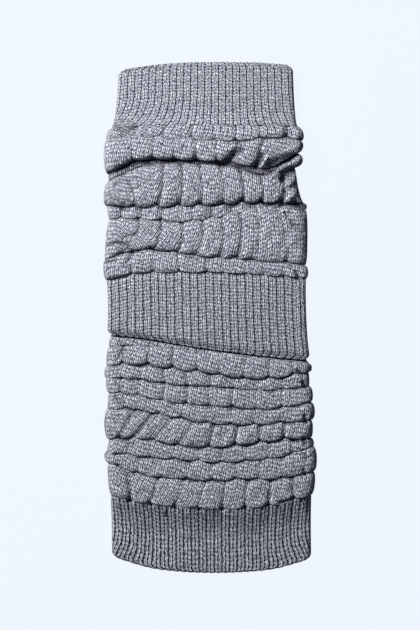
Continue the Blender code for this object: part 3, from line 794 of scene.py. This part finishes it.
def marl_knit(name, knit, light, dark, seed):
    """Grey marl rib knit of chunky yarn: matt and hairy, each stitch a V of two slanted strands."""
    material = bpy.data.materials.new(name)
    material.use_nodes = True
    tree = material.node_tree
    shader = tree.nodes["Principled BSDF"]

    def maths(kind, *values):
        return add_node(tree, "ShaderNodeMath", dict(enumerate(values)), operation=kind).outputs[0]

    def vectors(kind, *values):
        return add_node(tree, "ShaderNodeVectorMath", dict(enumerate(values)), operation=kind).outputs

    def between(value, start, end, first=0.0, last=1.0, kind="SMOOTHSTEP"):
        inputs = {"Value": value, "From Min": start, "From Max": end, "To Min": first, "To Max": last}
        return add_node(tree, "ShaderNodeMapRange", inputs, interpolation_type=kind).outputs["Result"]

    def noise(vector, scale, detail, roughness=0.5):
        inputs = {"Vector": vector, "Scale": scale, "Detail": detail, "Roughness": roughness}
        return add_node(tree, "ShaderNodeTexNoise", inputs).outputs

    def mixed(factor, first, last):
        inputs = {"Factor": factor, "A": first, "B": last}
        return add_node(tree, "ShaderNodeMix", inputs, data_type="RGBA").outputs["Result"]

    def attribute(label):
        return add_node(tree, "ShaderNodeAttribute", attribute_name=label).outputs["Fac"]

    stitches = add_node(tree, "ShaderNodeUVMap", uv_map="knit").outputs["UV"]
    place = add_node(tree, "ShaderNodeTexCoord").outputs["Object"]
    hollow, ribbed = attribute("hollow"), attribute("ribbed")

    # Loosely spun yarn: the loops wander by a fraction of a stitch
    drift = noise(place, WANDER_SCALE, 1.0)["Color"]
    stitches = vectors("MULTIPLY_ADD", drift, WANDER, stitches)[0]
    axes = add_node(tree, "ShaderNodeSeparateXYZ", {"Vector": stitches}).outputs

    # Each strand climbs from its wale's side to the middle, one for each course
    side = maths("PINGPONG", axes["X"], 0.5)
    strand = maths("MULTIPLY_ADD", side, -2.0 * knit.stitch_slant, axes["Y"])
    across = maths("PINGPONG", strand, 0.5)
    back = maths("PINGPONG", axes["X"], 0.25)
    round_strand = between(back, *STRAND_ROUND)

    # The holes between the loops: at the wale's sides, and in its middle half a course on
    spot = add_node(tree, "ShaderNodeCombineXYZ", {"X": side, "Y": across}).outputs[0]
    in_middle = [-size for size in HOLE_IN_MIDDLE]
    middle = [size / 2.0 for size in HOLE_IN_MIDDLE]
    from_sides = vectors("LENGTH", vectors("MULTIPLY", spot, HOLE_AT_SIDES)[0])["Value"]
    from_middle = vectors("LENGTH", vectors("MULTIPLY_ADD", spot, in_middle, middle)[0])["Value"]
    clear = between(maths("MINIMUM", from_sides, from_middle), *HOLE_EDGE)
    clear = maths("MAXIMUM", clear, maths("MULTIPLY", ribbed, HOLES_CLOSED))
    loop = maths("MULTIPLY", clear, round_strand)

    # The gap beside each rib and the shallow one in its middle, both crossed by loops
    rib_side = maths("PINGPONG", axes["X"], 1.0)
    gap, split = between(rib_side, *RIB_GAP), between(rib_side, *RIB_SPLIT)
    gap = maths("MULTIPLY", maths("MULTIPLY_ADD", split, ribbed, gap), ribbed)
    gap = maths("MULTIPLY", gap, maths("MULTIPLY_ADD", across, *CROSSED))

    # Marl: light and dark fibre streak along the strands, and single hairs cross them
    streaks = add_node(tree, "ShaderNodeCombineXYZ", {"X": axes["X"], "Y": strand, "Z": seed})
    streaks = vectors("MULTIPLY", streaks.outputs[0], STREAKS)[0]
    hair = noise(place, HAIRS, 2.0, 0.7)["Fac"]
    marl = maths("MULTIPLY_ADD", hair, HAIR_IN_MARL, noise(streaks, 1.0, 1.0, 0.6)["Fac"])
    yarn = mixed(between(marl, *MARL, kind="LINEAR"), dark, light)

    # Little light reaches the holes, the rib gaps and the creases
    height = maths("MULTIPLY_ADD", gap, GAP_DEPTH, loop)
    reached = maths("ADD", height, maths("MULTIPLY_ADD", ribbed, -UNRIBBED, UNRIBBED))
    lit = between(reached, *LIT, kind="LINEAR")
    hollow = maths("MULTIPLY", hollow, maths("MULTIPLY_ADD", loop, *CREASED_LOOPS))
    shade = maths("MULTIPLY", lit, between(hollow, 0.0, 1.0, 1.0, knit.crease_shade))
    tree.links.new(mixed(shade, tuple(knit.painted_gap_shade), yarn), shader.inputs["Base Color"])

    fuzz = maths("MULTIPLY_ADD", hair, HAIR_HEIGHT, height)
    bump = {"Strength": 1.0, "Distance": knit.stitch_height, "Height": fuzz}
    tree.links.new(add_node(tree, "ShaderNodeBump", bump).outputs["Normal"], shader.inputs["Normal"])
    shader.inputs["Roughness"].default_value = 0.95
    shader.inputs["IOR"].default_value = 1.45
    shader.inputs["Specular IOR Level"].default_value = 0.05
    shader.inputs["Sheen Weight"].default_value = 0.1
    shader.inputs["Sheen Roughness"].default_value = 0.5
    return material


def a_length(name, description, default, least=0.0):
    """A length in the sidebar."""
    return bpy.props.FloatProperty(
        name=name, description=description, default=default, min=least,
        subtype="DISTANCE", unit="LENGTH", precision=5)


def a_factor(name, description, default, most=1.0):
    """A factor in the sidebar."""
    return bpy.props.FloatProperty(
        name=name, description=description, default=default, min=0.0, max=most, subtype="FACTOR")


def a_colour(name, description, colour):
    """A colour in the sidebar."""
    return bpy.props.FloatVectorProperty(
        name=name, description=description, default=from_hex(colour), size=4, min=0.0, max=1.0,
        subtype="COLOR")


class KnitSettings(bpy.types.PropertyGroup):
    """Sizes and colours of the knit."""

    cuff_course: a_length(
        "Cuff course", "Height of one row of stitches on the tightest cuff", 1.5 * MM, 0.3 * MM)
    leg_course: a_length(
        "Leg course", "Height of one row of the looser stitches of the leg", 2.1 * MM, 0.3 * MM)
    stitch_height: a_length(
        "Stitch height", "How far a loop of yarn stands over the gap beside it", 0.45 * MM)
    stitch_slant: a_factor(
        "Stitch slant", "Courses that a strand climbs to the middle of its wale", 1.0, 2.0)
    rib_relief: a_length("Rib relief", "How far a rib stands over the gap beside it", 0.32 * MM)
    pleat_depth: a_factor(
        "Pleat depth", "Depth of the leg's pleats, where 1 is that of the photograph", 1.0, 1.5)
    # Painted shade: the dark colour that the holes and rib gaps between the loops darken to
    painted_gap_shade: a_colour(
        "Gap colour", "Colour between the loops of yarn, where little light comes", "#181B2C")
    crease_shade: a_factor("Crease shade", "Light that is left at the bottom of a crease", 0.22)
    light_yarn: a_colour("Light fibre", "Lightest fibre of the marl yarn", "#E1E2ED")
    dark_yarn: a_colour("Dark fibre", "Darkest fibre of the marl yarn", "#484C5F")


class StageSettings(bpy.types.PropertyGroup):
    """The floor, lights and camera round the socks."""

    floor_colour: a_colour("Floor", "Colour of the plain floor", "#F0F7FF")
    floor_glow: a_factor("Floor glow", "Share of its brightness that the floor gives off itself", 0.98)
    floor_size: a_length("Floor size", "Length of each side of the floor", 6.0, 1.0)
    key_power: bpy.props.FloatProperty(
        name="Key light", description="Power of the soft light above the upper hem",
        default=11.5, min=0.0, subtype="POWER", unit="POWER")
    sky_strength: bpy.props.FloatProperty(
        name="Sky", description="Strength of the even light from all round",
        default=0.13, min=0.0, subtype="FACTOR")
    camera_distance: a_length("Camera distance", "Height of the camera over the folds", 1.05, 0.2)


def make_sock(sock, seed, tone):
    """Knits one sock and lets it stand for its node of the frame."""
    knit = bpy.context.scene.sock_knit
    label = f"grey marl rib knit, {sock.name.replace('_', ' ')}"
    # A tone below 1 darkens this sock's copy of the yarn colours: painted shade for the sock further from
    # the light
    finish = marl_knit(label, knit, toned(knit.light_yarn, tone), toned(knit.dark_yarn, tone), seed)
    item = knitted_sock(sock, knit, finish)
    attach(item, "root")
    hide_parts(sock.name)
    return item


class SOCKS_OT_upper(bpy.types.Operator):
    """Knit the upper sock, whose lower cuff laps over the other sock"""

    bl_idname = "socks.upper"
    bl_label = "Upper sock"

    def execute(self, context):
        item = make_sock(UPPER, 1.0, 1.0)
        return {"FINISHED"}


class SOCKS_OT_lower(bpy.types.Operator):
    """Knit the lower sock, whose upper cuff is under the other sock"""

    bl_idname = "socks.lower"
    bl_label = "Lower sock"

    def execute(self, context):
        # 0.98 darkens this sock's knit a little: painted shade, as it lies further from the light
        item = make_sock(LOWER, 2.0, 0.98)
        return {"FINISHED"}


class SOCKS_OT_stage(bpy.types.Operator):
    """Lay the pale floor and set the soft studio light and the camera straight above"""

    bl_idname = "socks.stage"
    bl_label = "Stage"

    def execute(self, context):
        stage = context.scene.sock_stage
        mesh = bmesh.new()
        bmesh.ops.create_grid(mesh, x_segments=1, y_segments=1, size=stage.floor_size / 2.0)
        data = bpy.data.meshes.new("floor")
        mesh.to_mesh(data)
        mesh.free()
        data.materials.append(self.painted_floor(stage))
        floor = bpy.data.objects.new("floor", data)
        context.scene.collection.objects.link(floor)
        floor.visible_diffuse = False  # its glow stays off the socks' sides
        self.light_and_camera(context, stage)
        return {"FINISHED"}

    def painted_floor(self, stage):
        """Frosted acrylic of a light table: matt, pale blue, evenly bright, faintly cloudy."""
        material = bpy.data.materials.new("frosted acrylic light table")
        material.use_nodes = True
        tree = material.node_tree
        shader = tree.nodes["Principled BSDF"]
        place = add_node(tree, "ShaderNodeTexCoord").outputs["Object"]
        cloud = add_node(tree, "ShaderNodeTexNoise", {"Vector": place, "Scale": CLOUDS}).outputs["Fac"]
        colour = tuple(stage.floor_colour)
        tones = {"Factor": cloud, "A": toned(colour, CLOUDED), "B": colour}
        acrylic = add_node(tree, "ShaderNodeMix", tones, data_type="RGBA")
        tree.links.new(acrylic.outputs["Result"], shader.inputs["Emission Color"])
        shader.inputs["Emission Strength"].default_value = stage.floor_glow
        shader.inputs["Base Color"].default_value = toned(colour, (1.0 - stage.floor_glow) / 2.0)
        shader.inputs["Roughness"].default_value = 0.9
        shader.inputs["Specular IOR Level"].default_value = 0.1
        return material

    def light_and_camera(self, context, stage):
        """Soft light from above and left of the upper hem, even light all round, and the camera."""
        scene = context.scene
        lamp = bpy.data.lights.new("key", "AREA")
        lamp.energy = stage.key_power
        lamp.size = KEY_SIZE
        lamp.color = KEY_COLOUR
        item = bpy.data.objects.new("key", lamp)
        item.location = KEY_PLACE
        item.rotation_euler = (-Vector(KEY_PLACE)).to_track_quat("-Z", "Y").to_euler()
        item.visible_camera = False
        scene.collection.objects.link(item)

        world = bpy.data.worlds.new("pale studio")
        world.use_nodes = True
        background = world.node_tree.nodes["Background"]
        background.inputs["Color"].default_value = from_hex(SKY_COLOUR)
        background.inputs["Strength"].default_value = stage.sky_strength
        scene.world = world
        scene.view_settings.view_transform = "Standard"

        camera = bpy.data.cameras.new("camera")
        camera.lens = LENS
        item = bpy.data.objects.new("camera", camera)
        item.location = (0.0, CAMERA_Y, stage.camera_distance + FOLD_HEIGHT)
        scene.collection.objects.link(item)
        scene.camera = item


class SOCKS_PT_panel(bpy.types.Panel):
    """Makes the socks and their stage, one button each"""

    bl_idname = "SOCKS_PT_panel"
    bl_label = "Ribbed slouch socks"
    bl_space_type = "VIEW_3D"
    bl_region_type = "UI"
    bl_category = "Socks"

    def draw(self, context):
        for settings in (context.scene.sock_knit, context.scene.sock_stage):
            box = self.layout.box()
            for name in settings.bl_rna.properties.keys():
                if name not in ("rna_type", "name"):
                    box.prop(settings, name)
        for operator in (SOCKS_OT_upper, SOCKS_OT_lower, SOCKS_OT_stage):
            self.layout.operator(operator.bl_idname)


CLASSES = (KnitSettings, StageSettings, SOCKS_OT_upper, SOCKS_OT_lower, SOCKS_OT_stage, SOCKS_PT_panel)


def register():
    for kind in CLASSES:
        bpy.utils.register_class(kind)
    bpy.types.Scene.sock_knit = bpy.props.PointerProperty(type=KnitSettings)
    bpy.types.Scene.sock_stage = bpy.props.PointerProperty(type=StageSettings)


def unregister():
    del bpy.types.Scene.sock_stage
    del bpy.types.Scene.sock_knit
    for kind in reversed(CLASSES):
        bpy.utils.unregister_class(kind)


def main():
    register()
    bpy.ops.socks.upper()
    bpy.ops.socks.lower()
    bpy.ops.socks.stage()
    bpy.context.view_layer.update()


if __name__ == "__main__":
    main()
